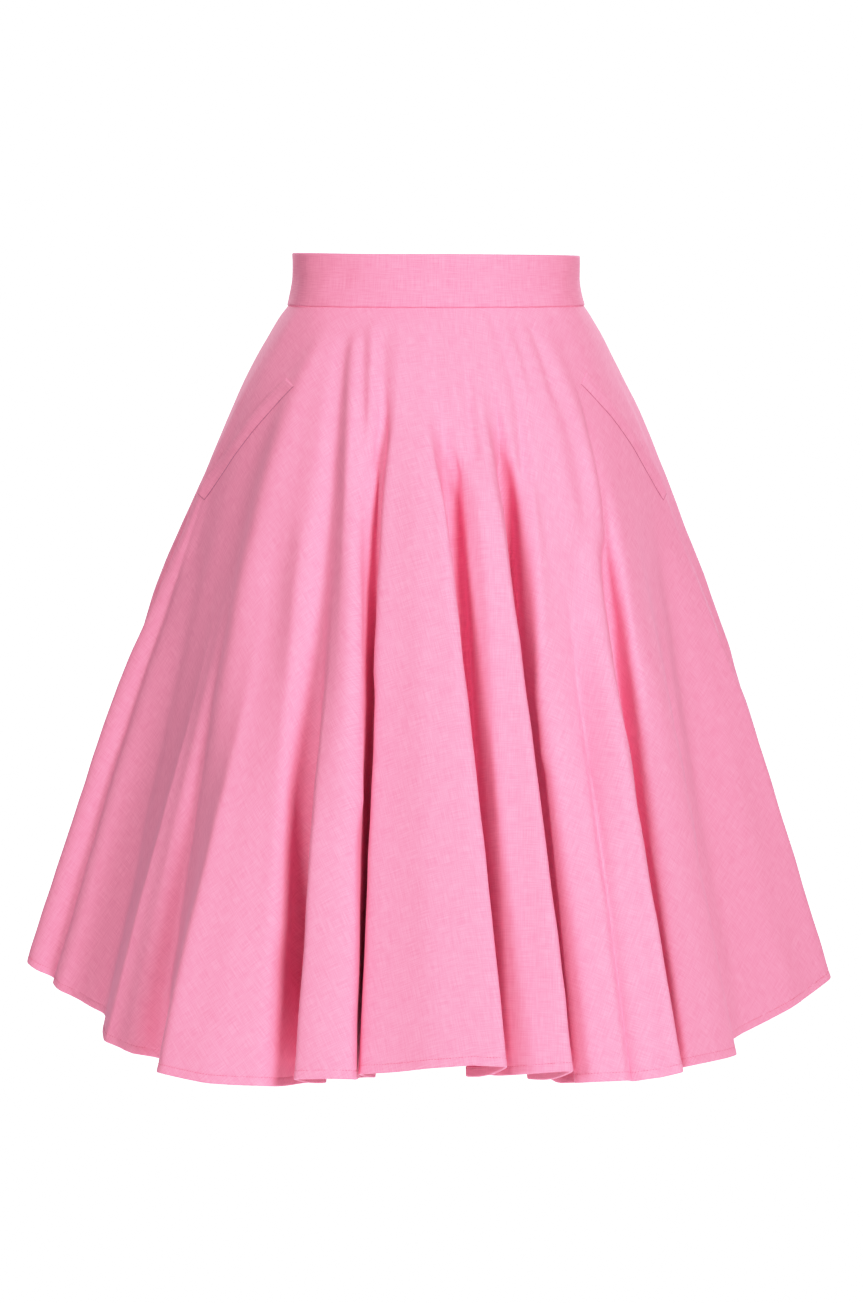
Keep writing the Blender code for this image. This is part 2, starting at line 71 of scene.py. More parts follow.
# Folds of the front at the hem, from the wearer's right to the left. The corners where the crest
# of each begins and ends, and the bottom of the tuck after it, are in metres across (+X) and
# forward (-Y). The tuck starts at one share of the way down and is full at another. The last
# column is the length of the cloth at the crest, which drops where it hangs on the bias.
FRONT_FOLDS = (
    # name, crest start, crest end, tuck, tuck width, starts, full, length
    ("right flank", (-0.372, -0.002), (-0.352, 0.020), (-0.339, 0.022), 0.012, 0.02, 0.70, 0.636),
    ("right side", (-0.322, 0.036), (-0.298, 0.066), (-0.288, 0.074), 0.010, 0.24, 0.96, 0.639),
    ("right pocket", (-0.282, 0.172), (-0.240, 0.184), (-0.226, 0.190), 0.010, 0.25, 0.90, 0.644),
    ("right panel", (-0.222, 0.288), (-0.134, 0.318), (-0.096, 0.272), 0.020, 0.42, 1.02, 0.652),
    ("right of centre", (-0.1125, 0.336), (-0.063, 0.346), (-0.054, 0.284), 0.014, 0.10, 0.31, 0.641),
    ("centre", (-0.062, 0.334), (0.056, 0.374), (0.032, 0.290), 0.016, 0.11, 0.34, 0.634),
    ("left of centre", (0.054, 0.332), (0.107, 0.350), (0.082, 0.242), 0.014, 0.09, 0.33, 0.638),
    ("left panel", (0.099, 0.322), (0.149, 0.330), (0.150, 0.319), 0.006, 0.40, 0.80, 0.645),
    ("left edge", (0.154, 0.326), (0.194, 0.328), (0.174, 0.250), 0.014, 0.08, 0.32, 0.649),
    ("left pocket", (0.198, 0.292), (0.244, 0.248), (0.230, 0.185), 0.020, 0.25, 0.80, 0.643),
    ("left side", (0.256, 0.132), (0.354, 0.032), (0.310, -0.010), 0.020, 0.02, 0.62, 0.637),
)
# Folds that slant across the cloth: the cloth angles over which each slant rises, holds and fades,
# and how far it turns them at the waist, in degrees. It dies away towards the hem.
SLANTS = (
    # name, rises from, holds from, fades from, ends, turn
    ("right of centre", -42.0, -35.0, -26.0, -20.0, -4.0),
    ("centre", -15.0, -9.0, 3.0, 10.0, -3.5),
    ("left edge", 18.0, 44.0, 52.0, 78.0, 12.0),
)
SLANT_POWER = 1.7
# The row of the folds whose tuck holds centre front
CENTRE_ROW = 5

# Folds round the back, evenly spaced between the two flanks
BACK_FOLDS = (
    # crest reach, crest width, tuck reach, starts, full, length
    (0.366, 0.062, 0.262, 0.14, 0.48, 0.637),
    (0.356, 0.072, 0.262, 0.08, 0.36, 0.642),
    (0.350, 0.058, 0.248, 0.10, 0.33, 0.646),
    (0.342, 0.074, 0.252, 0.12, 0.40, 0.641),
    (0.340, 0.062, 0.240, 0.07, 0.30, 0.636),
    (0.346, 0.068, 0.248, 0.10, 0.36, 0.636),
    (0.342, 0.060, 0.244, 0.13, 0.42, 0.641),
    (0.351, 0.072, 0.256, 0.09, 0.34, 0.646),
    (0.358, 0.064, 0.256, 0.11, 0.38, 0.642),
    (0.366, 0.068, 0.280, 0.16, 0.52, 0.637),
)
BACK_FROM = 103.0
BACK_TO = 262.0
BACK_TUCK_WIDTH = 0.024
# How far a crest bows out for its width, and how far round its corners go
CREST_BOW = 0.07
ROUNDING = 0.014

# Points round the hem, the window of the mean line between the folds, and steps down the cloth
HEM_POINTS = 3600
MEAN_WINDOW = 150
CLOTH_STEPS = 200
GIRTH_STEPS = 7200
# Angle to either side of a place over which the cloth's slope is taken
SLOPE_ANGLE = 0.25
# Columns of a panel: the step at which the hem is looked at, the largest turn of the hem from
# one column to the next, and the largest angle between them
COLUMN_LOOK = 0.1
LARGEST_TURN = 18.0
LONGEST_STEP = 0.8

# Soft creases in the cloth between the folds, each from one place to another
CREASES = (
    # name, start angle, share, end angle, share, width at start, at end, rise at start, at end
    ("right panel left shoulder", -46.0, 0.06, -50.2, 0.34, 0.009, 0.016, 0.0022, 0.0066),
    ("right panel lower shoulder", -50.2, 0.34, -53.0, 0.90, 0.016, 0.020, 0.0066, 0.0060),
    ("right pocket hollow", -56.5, 0.20, -59.0, 0.62, 0.016, 0.030, -0.0016, -0.0040),
    ("right pocket lower hollow", -59.0, 0.62, -57.0, 1.00, 0.030, 0.024, -0.0040, -0.0060),
    ("right pocket edge", -55.0, 0.40, -55.4, 1.00, 0.0080, 0.0080, 0.0010, 0.0120),
    ("right panel trough", -44.0, 0.34, -43.6, 0.90, 0.010, 0.018, -0.0010, -0.0024),
    ("right panel rib", -38.6, 0.32, -38.0, 0.80, 0.009, 0.014, 0.0022, 0.0040),
    ("over the right valley", -36.6, 0.06, -33.6, 0.26, 0.0052, 0.0095, -0.0018, -0.0062),
    ("right valley", -33.6, 0.26, -34.6, 0.86, 0.0095, 0.0150, -0.0062, -0.0130),
    ("right of centre ridge", -32.0, 0.06, -28.6, 0.24, 0.0045, 0.0075, 0.0016, 0.0044),
    ("right of centre lower ridge", -28.6, 0.24, -26.0, 0.66, 0.0075, 0.0120, 0.0044, 0.0050),
    ("right of centre groove", -29.0, 0.06, -25.8, 0.20, 0.0040, 0.0060, -0.0010, -0.0016),
    ("over the slit ridge", -26.2, 0.04, -23.4, 0.17, 0.0044, 0.0056, 0.0015, 0.0036),
    ("over the slit", -21.6, 0.05, -21.0, 0.22, 0.0060, 0.0075, -0.0014, -0.0052),
    ("centre panel right rib", -16.2, 0.08, -16.4, 0.50, 0.0070, 0.0120, 0.0010, 0.0024),
    ("centre panel groove", -1.2, 0.00, -4.6, 0.15, 0.0036, 0.0050, -0.0007, -0.0009),
    ("centre panel trough", -13.6, 0.30, -12.6, 0.96, 0.012, 0.022, -0.0005, -0.0018),
    ("centre panel left rib", -5.9, 0.03, -8.6, 0.22, 0.0050, 0.0080, 0.0008, 0.0010),
    ("left of centre top rib", 4.8, 0.03, 1.4, 0.14, 0.0045, 0.0060, 0.0009, 0.0014),
    ("over the centre fold", 8.4, 0.09, 4.6, 0.22, 0.0050, 0.0070, -0.0014, -0.0056),
    ("left of centre shoulder", 10.0, 0.08, 9.8, 0.30, 0.0050, 0.0080, 0.0010, 0.0024),
    ("left of centre rib", 9.8, 0.30, 9.0, 0.90, 0.008, 0.014, 0.0018, 0.0020),
    ("over the left fold", 21.7, 0.01, 23.8, 0.13, 0.0042, 0.0055, -0.0012, -0.0026),
    ("left fold", 23.8, 0.13, 21.6, 0.24, 0.0055, 0.0070, -0.0026, -0.0058),
    ("left panel top rib", 26.6, 0.05, 27.4, 0.14, 0.0042, 0.0055, 0.0010, 0.0018),
    ("left panel top groove", 30.3, 0.05, 27.0, 0.18, 0.0036, 0.0045, -0.0008, -0.0014),
    ("left panel right rib", 34.6, 0.04, 33.6, 0.30, 0.0050, 0.0120, 0.0011, 0.0026),
    ("left panel groove", 37.6, 0.04, 36.0, 0.13, 0.0040, 0.0050, -0.0013, -0.0016),
    ("left panel edge", 42.0, 0.06, 42.2, 0.32, 0.0060, 0.0100, 0.0012, 0.0050),
    ("left panel crease", 28.2, 0.62, 27.2, 1.00, 0.0080, 0.0080, 0.0002, 0.0020),
    ("left edge trough", 29.6, 0.66, 29.0, 1.00, 0.0060, 0.0060, -0.0004, -0.0036),
    ("centre valley", 0.0, 0.24, 0.2, 1.00, 0.0060, 0.0070, -0.0040, -0.0060),
    ("centre valley shoulder", 4.6, 0.28, 4.6, 1.00, 0.0055, 0.0060, 0.0024, 0.0050),
    ("left of centre valley", 16.6, 0.24, 16.6, 1.00, 0.0080, 0.0090, -0.0040, -0.0060),
    ("left panel valley", 22.0, 0.56, 22.4, 1.00, 0.0060, 0.0070, -0.0020, -0.0160),
    ("left panel shoulder", 22.6, 0.26, 23.0, 0.60, 0.0060, 0.0060, 0.0030, 0.0030),
    ("left pocket ridge", 53.6, 0.30, 54.6, 1.00, 0.012, 0.018, 0.0014, 0.0036),
    ("left side trough", 60.0, 0.40, 61.5, 1.00, 0.016, 0.028, -0.0010, -0.0034),
    ("left side strip", 77.0, 0.58, 69.5, 0.90, 0.010, 0.014, -0.0010, -0.0030),
    ("right flank ridge", -63.6, 0.34, -65.0, 0.72, 0.014, 0.022, 0.0008, 0.0022),
    ("right flank corner", -71.6, 0.40, -71.8, 1.00, 0.0080, 0.0080, -0.0015, -0.0050),
    ("right flank lower ridge", -69.4, 0.40, -69.6, 1.00, 0.0090, 0.0110, 0.0020, 0.0100),
    ("right edge trough", -75.0, 0.60, -74.6, 1.00, 0.010, 0.014, -0.0010, -0.0040),
    ("right edge ridge", -76.0, 0.60, -75.0, 0.98, 0.010, 0.015, 0.0010, 0.0030),
    ("back left crease", 108.0, 0.30, 111.0, 0.92, 0.010, 0.016, 0.0006, -0.0022),
    ("back left rib", 128.0, 0.25, 126.0, 0.84, 0.009, 0.014, 0.0008, 0.0020),
    ("back left top groove", 149.0, 0.04, 151.0, 0.26, 0.0050, 0.0080, -0.0012, -0.0034),
    ("back left top rib", 156.0, 0.05, 157.0, 0.22, 0.0050, 0.0070, 0.0011, 0.0024),
    ("back middle crease", 171.0, 0.34, 173.5, 1.00, 0.010, 0.015, -0.0006, -0.0020),
    ("back middle top rib", 188.0, 0.04, 187.0, 0.24, 0.0050, 0.0075, 0.0012, 0.0026),
    ("back right top groove", 197.0, 0.05, 196.0, 0.26, 0.0050, 0.0080, -0.0012, -0.0034),
    ("back right rib", 206.0, 0.22, 203.0, 0.80, 0.009, 0.015, 0.0007, 0.0022),
    ("back right top rib", 222.0, 0.05, 220.0, 0.24, 0.0050, 0.0080, 0.0010, 0.0026),
    ("back right crease", 236.0, 0.38, 238.0, 1.00, 0.010, 0.016, -0.0008, -0.0026),
    ("back right flank rib", 256.0, 0.30, 254.0, 0.86, 0.010, 0.016, 0.0008, 0.0024),
)
# Faint ribs that hang from the waist seam: how many, their width at the seam, how much they
# widen, their rise, how far they wander from even places, and the share of the way down that
# they reach, with how much that varies
WAIST_RIBS = 26
WAIST_RIB_WIDTH = 0.0055
WAIST_RIB_SPREAD = 2.2
WAIST_RIB_RISE = 0.0006
WAIST_RIB_WANDER = 0.36
WAIST_RIB_REACH = (0.17, 0.07)

# Unevenness all over, from crossing waves: how many, the turn from one to the next in radians,
# the shortest wave and the step to the next, and the rise of a wave of the length that follows
UNEVEN_WAVES = 9
UNEVEN_TURN = 2.399
UNEVEN_LENGTHS = (0.034, 0.011)
UNEVEN_RISE = 0.00009
UNEVEN_RISE_LENGTH = 0.05

# Narrow hem, turned twice: its height, the cloth's layers there, and how far its edge is rounded
HEM_HEIGHT = 0.0080
HEM_LAYERS = 0.0010
HEM_EDGE = 0.0011
# The groove of its topstitch, the swell of the layers below it, and the ripple that it draws
STITCH_LINE = 0.0068
STITCH_GROOVE = 0.0002
STITCH_GROOVE_WIDTH = 0.0006
HEM_SWELL = 0.00012
HEM_SWELL_LINE = 0.0035
HEM_SWELL_WIDTH = 0.0018
HEM_RIPPLE = 0.0003
HEM_RIPPLE_LENGTH = 0.0105
HEM_RIPPLE_REACH = 0.0075

# Stitches: pitch, length and thickness of the thread
STITCH_PITCH = 0.0024
STITCH_LENGTH = 0.0017
THREAD = 0.00042

# Welts of the slanted pockets, by the ends of their seam in the flat half circle of the front
WELTS = (
    # name, lower end, upper end
    ("pocket_welt_right", (-0.281, 0.099), (-0.143, 0.125)),
    ("pocket_welt_left", (0.273, 0.122), (0.140, 0.125)),
)
WELT_WIDTH = 0.0185
WELT_THICKNESS = 0.0011
WELT_EDGE = 0.0018
# The share of its thickness at the seam, the width of the painted shade along the seam and at
# the lower end (a darker cloth colour for the shadow in the seam's ditch), and how far it lies off
# the cloth where it is sewn and, besides, at the middle of its free edge
WELT_SEAM_SHARE = 0.2
WELT_PAINTED_SHADE = 0.0009
WELT_CLEAR = 0.00005
WELT_PROUD = 0.0005

# Concealed zip behind centre back, as the solids have it, and its nylon coil
TAPE_TOP = 0.018
TAPE_BAND_FOOT_SHARE = 0.97
TAPE_CLOTH_TOP_SHARE = 0.01
TAPE_FOOT_SHARE = 0.24
TAPE_INSIDE = 0.0027
TAPE_STITCH_ACROSS = 0.0062
COIL_INSIDE = 0.0044
COIL_HALF_WIDTH = 0.0016
COIL_PITCH = 0.0011
COIL_WIRE = 0.00035

# Seam allowances inside: half width and thickness of the two pressed layers, the gap between
# them and the cloth, and their seams
ALLOWANCE_HALF_WIDTH = 0.010
ALLOWANCE_THICKNESS = 0.0006
ALLOWANCE_CLEAR = 0.0001
ALLOWANCES = (("left_side_allowance", 90.0), ("back_allowance", 180.0),
              ("right_side_allowance", 270.0))

# Weave as drawn: the width of fine and coarse threads, the lengths of their slubs along the warp
# and along the weft, and how much the coarse ones count
FINE_THREAD = 0.0007
FINE_SLUBS = (0.016, 0.014)
COARSE_THREAD = 0.0016
COARSE_SLUBS = (0.040, 0.030)
COARSE_SHARE = 0.22

# Camera of the photograph, and its pitch below the level
CAMERA_PLACE = (-0.0039, -2.30, 0.022)
CAMERA_PITCH = 8.5683
CAMERA_LENS = 72.89
SENSOR = 36.0

# Studio: a large soft light at either side of the camera and two behind, with their powers
LIGHTS = (
    ("right_light", (1.35, -2.45, 1.0), 95.0),
    ("left_light", (-1.6, -2.3, 0.8), 46.0),
    ("back_right_light", (-1.2, 2.55, 0.9), 66.0),
    ("back_left_light", (1.2, 2.55, 0.9), 66.0),
)
LIGHT_AIM = (0.0, 0.0, -0.3)
LIGHT_SIZE = (0.8, 1.2)
LIGHT_COLOUR = "FFFDFB"
# The white surround, as it lights and as it is seen, and the floor, out of the photograph's frame
WORLD_LIGHT = 0.10
SEEN_WHITE = 1.7
FLOOR_HEIGHT = -1.45
FLOOR_HALF_WIDTH = 1.2
FLOOR_GLOW = 1.1
# Where the brightest tones flatten off, as light in and light out
HIGHLIGHT_SHOULDER = ((0.30, 0.30), (0.60, 0.60), (0.86, 0.82), (1.12, 0.945), (1.60, 1.0))


def ellipse(half_sizes, turn):
    """Point of an ellipse, turn in radians from the front towards +X."""
    return np.stack([half_sizes[0] * np.sin(turn), -half_sizes[1] * np.cos(turn)], axis=-1)


def run_along(line):
    """Distance along a line of points at each of them."""
    return np.concatenate([[0.0], np.cumsum(np.linalg.norm(np.diff(line, axis=0), axis=1))])


def points_at(places, run, line):
    """Points of a line at places along it, where its own points lie at the places in run."""
    return np.stack([np.interp(places, run, column) for column in line.T], axis=-1)


def bell(away, width):
    """Bell curve that is 1 at no distance away."""
    return np.exp(-0.5 * (away / width) ** 2)


def rounded(near, reach):
    """Share of the full thickness at a distance from an edge that is rounded over a reach."""
    part = np.sqrt(np.clip(1.0 - (1.0 - near / reach) ** 2, 0.0, 1.0))
    return np.where(near < reach, part, 1.0)


def even_turn(half_sizes, angle):
    """Turn at which an ellipse's girth, from centre front, reaches a share of 360 degrees."""
    turns = np.linspace(-math.pi, math.pi, GIRTH_STEPS + 1)
    girth = run_along(ellipse(half_sizes, turns))
    degrees = (girth / girth[-1] - 0.5) * 360.0
    return np.interp(angle, degrees, turns)


def running_mean(line, window):
    """A closed line of points averaged twice over a window, given as a count each way."""
    for _ in range(2):
        padded = np.concatenate([line[-window:], line, line[:window]])
        total = np.concatenate([[[0.0, 0.0]], np.cumsum(padded, axis=0)])
        line = (total[2 * window + 1:] - total[:-2 * window - 1]) / (2 * window + 1)
    return line


def even_line(points, count):
    """A closed line of points resampled at even lengths, and its girth."""
    loop = np.concatenate([points, points[:1]])
    run = run_along(loop)
    return points_at(np.arange(count) / count * run[-1], run, loop), run[-1]


def tuck_pair(tuck, width):
    """The two corners of a tuck's bottom, square to the line from the axis."""
    side = np.array([-tuck[1], tuck[0]]) / np.linalg.norm(tuck)
    return [tuck - 0.5 * width * side, tuck + 0.5 * width * side]


def crest_points(start, end):
    """A crest's two corners with its rounded middle between them."""
    across = end - start
    middle = 0.5 * (start + end) + CREST_BOW * np.array([across[1], -across[0]])
    return [start, middle, end]


def fold_corners():
    """Corners of the hem in order round the skirt: three for a crest, two for a tuck."""
    corners = []
    for _, start, end, tuck, width, *_ in FRONT_FOLDS:
        start, end, tuck = (np.array([across, -forward]) for across, forward in (start, end, tuck))
        corners += crest_points(start, end) + tuck_pair(tuck, width)
    step = math.radians(BACK_TO - BACK_FROM) / len(BACK_FOLDS)
    for number, (reach, width, tuck_reach, *_) in enumerate(BACK_FOLDS):
        middle = math.radians(BACK_FROM) + (number + 0.5) * step
        half = 0.5 * width / reach
        tuck = ellipse((tuck_reach, tuck_reach), middle + 0.5 * step)
        corners += crest_points(ellipse((reach, reach), middle - half),
                                ellipse((reach, reach), middle + half))
        corners += tuck_pair(tuck, BACK_TUCK_WIDTH)
    return np.array(corners)


def hem_line():
    """Cloth angles round the hem from centre back, and the rounded hem line's point at each."""
    line, girth = even_line(fold_corners(), HEM_POINTS)
    line = running_mean(line, int(0.5 * ROUNDING / girth * HEM_POINTS))
    line, girth = even_line(line, HEM_POINTS)
    centre = FRONT_FOLDS[CENTRE_ROW][3]
    gap = np.linalg.norm(line - np.array([centre[0], -centre[1]]), axis=1)
    line = np.roll(line, HEM_POINTS // 2 - int(np.argmin(gap)), axis=0)
    return np.arange(HEM_POINTS) / HEM_POINTS * 360.0 - 180.0, line


def round_hem(column, places):
    """Values of one of the tables' last columns, spread round the hem between given places."""
    values = np.array([fold[column] for fold in FRONT_FOLDS + BACK_FOLDS])
    order = np.argsort(places)
    return np.interp(HEM_ANGLES, places[order], values[order], period=360.0)


def hem_places(corner):
    """Cloth angles at which the folds' crests (corner 1) or tucks (corner 3) lie."""
    points = fold_corners().reshape(-1, 5, 2)[:, corner]
    return np.array([HEM_ANGLES[np.argmin(np.linalg.norm(HEM_LINE - point, axis=1))]
                     for point in points])


HEM_ANGLES, HEM_LINE = hem_line()
MEAN_LINE = running_mean(HEM_LINE, MEAN_WINDOW)
FOLD_STARTS = round_hem(-3, hem_places(3))
FOLD_FULLS = round_hem(-2, hem_places(3))
CLOTH_LENGTHS = round_hem(-1, hem_places(1))
FINE_SHARES = np.linspace(0.0, 1.0, CLOTH_STEPS + 1)


def around(line, angle):
    """Point of a closed line at a cloth angle in degrees."""
    wrapped = (np.asarray(angle) + 180.0) % 360.0 - 180.0
    return points_at(wrapped, np.append(HEM_ANGLES, 180.0), np.concatenate([line, line[:1]]))


def smooth(value):
    """Ease from 0 to 1 as a value goes from 0 to 1."""
    value = np.clip(value, 0.0, 1.0)
    return value * value * (3.0 - 2.0 * value)


def slant(angle):
    """How far the folds' pattern is turned at the waist, at each cloth angle."""
    turn = np.zeros(len(angle))
    for _, rises, holds, fades, ends, most in SLANTS:
        held = smooth((angle - rises) / (holds - rises)) * smooth((ends - angle) / (ends - fades))
        turn += most * held
    return turn


def cloth(angle):
    """Middle surface of the skirt: for each cloth angle, a line of points from seam to hem."""
    share = FINE_SHARES
    spread = share + HIP_SPRING * HIP_SHARE * np.vectorize(math.erf)(share / HIP_SHARE)
    spread /= spread[-1]
    seam = ellipse(BAND_FOOT, even_turn(BAND_FOOT, (angle + 180.0) % 360.0 - 180.0))
    mean = around(MEAN_LINE, angle)
    slanted = angle[:, None] - slant(angle)[:, None] * (1.0 - share) ** SLANT_POWER
    fold = around(HEM_LINE, slanted) - around(MEAN_LINE, slanted)
    starts, fulls = (np.interp(slanted, HEM_ANGLES, values, period=360.0)
                     for values in (FOLD_STARTS, FOLD_FULLS))
    length = np.interp(angle, HEM_ANGLES, CLOTH_LENGTHS, period=360.0)
    depth = 0.5 * (share + spread) * smooth((share - starts) / (fulls - starts))
    flat = (seam[:, None] + (mean - seam)[:, None] * spread[None, :, None]
            + fold * depth[:, :, None])
    step = length[:, None] / CLOTH_STEPS
    moved = np.linalg.norm(np.diff(flat, axis=1), axis=-1)
    fall = np.sqrt(np.maximum(step ** 2 - moved ** 2, 0.0))
    drop = np.concatenate([np.zeros((len(angle), 1)), np.cumsum(fall, axis=1)], axis=1)
    top = -0.5 * BAND_HEIGHT - SEAM_GAP
    return np.concatenate([flat, (top - drop)[:, :, None]], axis=-1)


def cut_place(angle, share):
    """Place on the flat cut, in metres, of a cloth angle and a share of the way to the hem."""
    radius = WAIST_RADIUS + share * CUT_LENGTH
    return np.stack([radius * np.sin(np.radians(angle)), radius * np.cos(np.radians(angle))], -1)


def crease_rise(place):
    """Height of the soft creases over the smooth cloth at places on the flat cut.

    A crease that starts where the row before it ends carries on from it, and only the nearer of
    the two counts."""
    rise, chain, nearest = np.zeros((3, *place.shape[:-1]))
    last = None
    for _, a0, s0, a1, s1, width0, width1, rise0, rise1 in CREASES:
        if (a0, s0) != last:
            rise += chain
            chain = np.zeros_like(rise)
            nearest = np.full_like(rise, np.inf)
        start, end = cut_place(a0, s0), cut_place(a1, s1)
        way = end - start
        part = np.clip(((place - start) @ way) / (way @ way), 0.0, 1.0)
        away = np.linalg.norm(place - start - part[..., None] * way, axis=-1)
        width = width0 + (width1 - width0) * part
        height = (rise0 + (rise1 - rise0) * part) * bell(away, width)
        chain = np.where(away < nearest, height, chain)
        nearest = np.minimum(nearest, away)
        last = (a1, s1)
    return rise + chain


def waist_rise(angle, share):
    """Height of the faint ribs that hang from the waist seam, uneven in place and length."""
    rise = np.zeros(np.broadcast(angle, share).shape)
    across = (WAIST_RADIUS + share * CUT_LENGTH) * math.pi / 180.0
    for number in range(WAIST_RIBS):
        wander = WAIST_RIB_WANDER * math.sin(2.4 * number)
        middle = (number + wander) * 360.0 / WAIST_RIBS - 180.0
        reach = WAIST_RIB_REACH[0] + WAIST_RIB_REACH[1] * math.sin(4.1 * number + 1.0)
        off = (angle - middle + 180.0) % 360.0 - 180.0
        width = WAIST_RIB_WIDTH * (1.0 + WAIST_RIB_SPREAD * share / reach)
        fade = smooth(share / 0.02) * (1.0 - smooth(share / reach))
        rise = rise + WAIST_RIB_RISE * fade * bell(off * across, width)
    return rise


def uneven_rise(place):
    """Slight unevenness that soft cloth keeps all over, from a few crossing waves."""
    rise = np.zeros(place.shape[:-1])
    for number in range(UNEVEN_WAVES):
        turn = UNEVEN_TURN * number
        length = UNEVEN_LENGTHS[0] + UNEVEN_LENGTHS[1] * number
        phase = (place[..., 0] * math.cos(turn) + place[..., 1] * math.sin(turn)) / length
        height = math.sqrt(length / UNEVEN_RISE_LENGTH)
        rise += height * np.sin(2.0 * math.pi * phase + 1.7 * number)
    return UNEVEN_RISE * rise


def hem_rise(angle, above):
    """Ripple that the topstitch draws in the hem, by the distance above the hem's edge."""
    along = np.radians(angle) * (WAIST_RADIUS + CUT_LENGTH)
    phase = 2.0 * math.pi * along / HEM_RIPPLE_LENGTH
    wave = np.sin(phase + 1.3 * np.sin(0.31 * phase)) * (0.65 + 0.35 * np.sin(0.113 * phase))
    return HEM_RIPPLE * wave * bell(above - STITCH_LINE, HEM_RIPPLE_REACH)


def on_cloth(angle, share, outward):
    """Points of the creased cloth, one for each angle, share and distance out, and the normals.

    The angle is a list of columns. The share and the distance have a row for each column, or one
    row for all."""
    middle = cloth(angle)
    along = cloth(angle + SLOPE_ANGLE) - cloth(angle - SLOPE_ANGLE)
    normal = np.cross(np.gradient(middle, axis=1), along)
    normal[:, 0, 2] = 0.0
    normal /= np.linalg.norm(normal, axis=-1, keepdims=True)
    share = np.broadcast_to(share, (len(angle), np.shape(share)[-1]))
    low = np.minimum((share * CLOTH_STEPS).astype(int), CLOTH_STEPS - 1)
    part = (share * CLOTH_STEPS - low)[:, :, None]
    line = np.arange(len(angle))[:, None]
    base = middle[line, low] * (1.0 - part) + middle[line, low + 1] * part
    normal = normal[line, low] * (1.0 - part) + normal[line, low + 1] * part
    column = angle[:, None]
    place = cut_place(column, share)
    rise = crease_rise(place) + uneven_rise(place) * smooth(share / 0.05)
    rise += waist_rise(column, share) + hem_rise(column, (1.0 - share) * CUT_LENGTH)
    return base + (rise + outward)[:, :, None] * normal, normal


def fold_columns(start, end):
    """Cloth angles of a panel's columns, closer together where the hem bends."""
    angles = np.arange(start, end + 1e-6, COLUMN_LOOK)
    line = around(HEM_LINE, angles)
    heading = np.unwrap(np.arctan2(*np.gradient(line, axis=0).T[::-1]))
    cost = np.abs(np.gradient(heading)) / math.radians(LARGEST_TURN) + COLUMN_LOOK / LONGEST_STEP
    total = np.concatenate([[0.0], np.cumsum(0.5 * (cost[1:] + cost[:-1]))])
    count = int(math.ceil(total[-1]))
    return np.interp(np.linspace(0.0, total[-1], count + 1), total, angles)


def put(name, data):
    """A new object of the given data, linked to the scene."""
    body = bpy.data.objects.new(name, data)
    bpy.context.scene.collection.objects.link(body)
    return body


def rim(line, shift):
    """Faces that join a line of the outer grid's points to the same line of the inner grid."""
    return np.stack([line[:-1], line[1:], line[1:] + shift, line[:-1] + shift], -1)


def shell(name, outer, inner, cut, material):
    """Thin closed shell between two grids of points, with the flat cut as its UV map."""
    columns, rows = outer.shape[:2]
    shift = columns * rows
    points = np.concatenate([outer.reshape(-1, 3), inner.reshape(-1, 3)])
    index = np.arange(shift).reshape(columns, rows)
    a, b, c, d = index[:-1, :-1], index[:-1, 1:], index[1:, 1:], index[1:, :-1]
    front = np.stack([a, b, c, d], -1).reshape(-1, 4)
    back = np.stack([a, d, c, b], -1).reshape(-1, 4) + shift
    faces = np.concatenate([front, back, rim(index[:, 0], shift), rim(index[::-1, -1], shift),
                            rim(index[0, ::-1], shift), rim(index[-1], shift)])
    mesh = bpy.data.meshes.new(name)
    mesh.from_pydata(points.tolist(), [], faces.tolist())
    mesh.materials.append(material)
    flat = np.concatenate([cut.reshape(-1, 2), cut.reshape(-1, 2)])
    uv = mesh.uv_layers.new(name="cut")
    uv.data.foreach_set("uv", flat[faces.reshape(-1)].astype(np.float32).reshape(-1))
    mesh.shade_smooth()
    return put(name, mesh)


def panel_rows():
    """Distances above the hem's edge of a panel's rows, closest at the hem and the waist seam."""
    hem = [0.0, 0.0004, 0.0011, 0.0022, 0.0038, 0.0054, 0.0062, STITCH_LINE, 0.0074,
           HEM_HEIGHT, HEM_HEIGHT + 0.0003, 0.0095, 0.0120, 0.0160, 0.0210]
    waist = [0.0150, 0.0100, 0.0062, 0.0034, 0.0016, 0.0005, 0.0]
    body = np.linspace(0.0270, CUT_LENGTH - 0.0210, 76)
    return np.concatenate([hem, body, CUT_LENGTH - np.array(waist)])[::-1]


def panel_offsets(above):
    """Distances out of a panel's two faces: a rounded edge, the hem's layers and its stitch."""
    edge = rounded(above, HEM_EDGE)
    groove = STITCH_GROOVE * bell(above - STITCH_LINE, STITCH_GROOVE_WIDTH)
    swell = HEM_SWELL * bell(above - HEM_SWELL_LINE, HEM_SWELL_WIDTH)
    layers = HEM_LAYERS * (above <= HEM_HEIGHT + 1e-9)
    middle = -0.5 * layers
    outer = middle + (HALF_CLOTH - middle) * edge - groove + swell
    inner = middle + (-HALF_CLOTH - layers - middle) * edge + 0.5 * groove
    return outer, inner


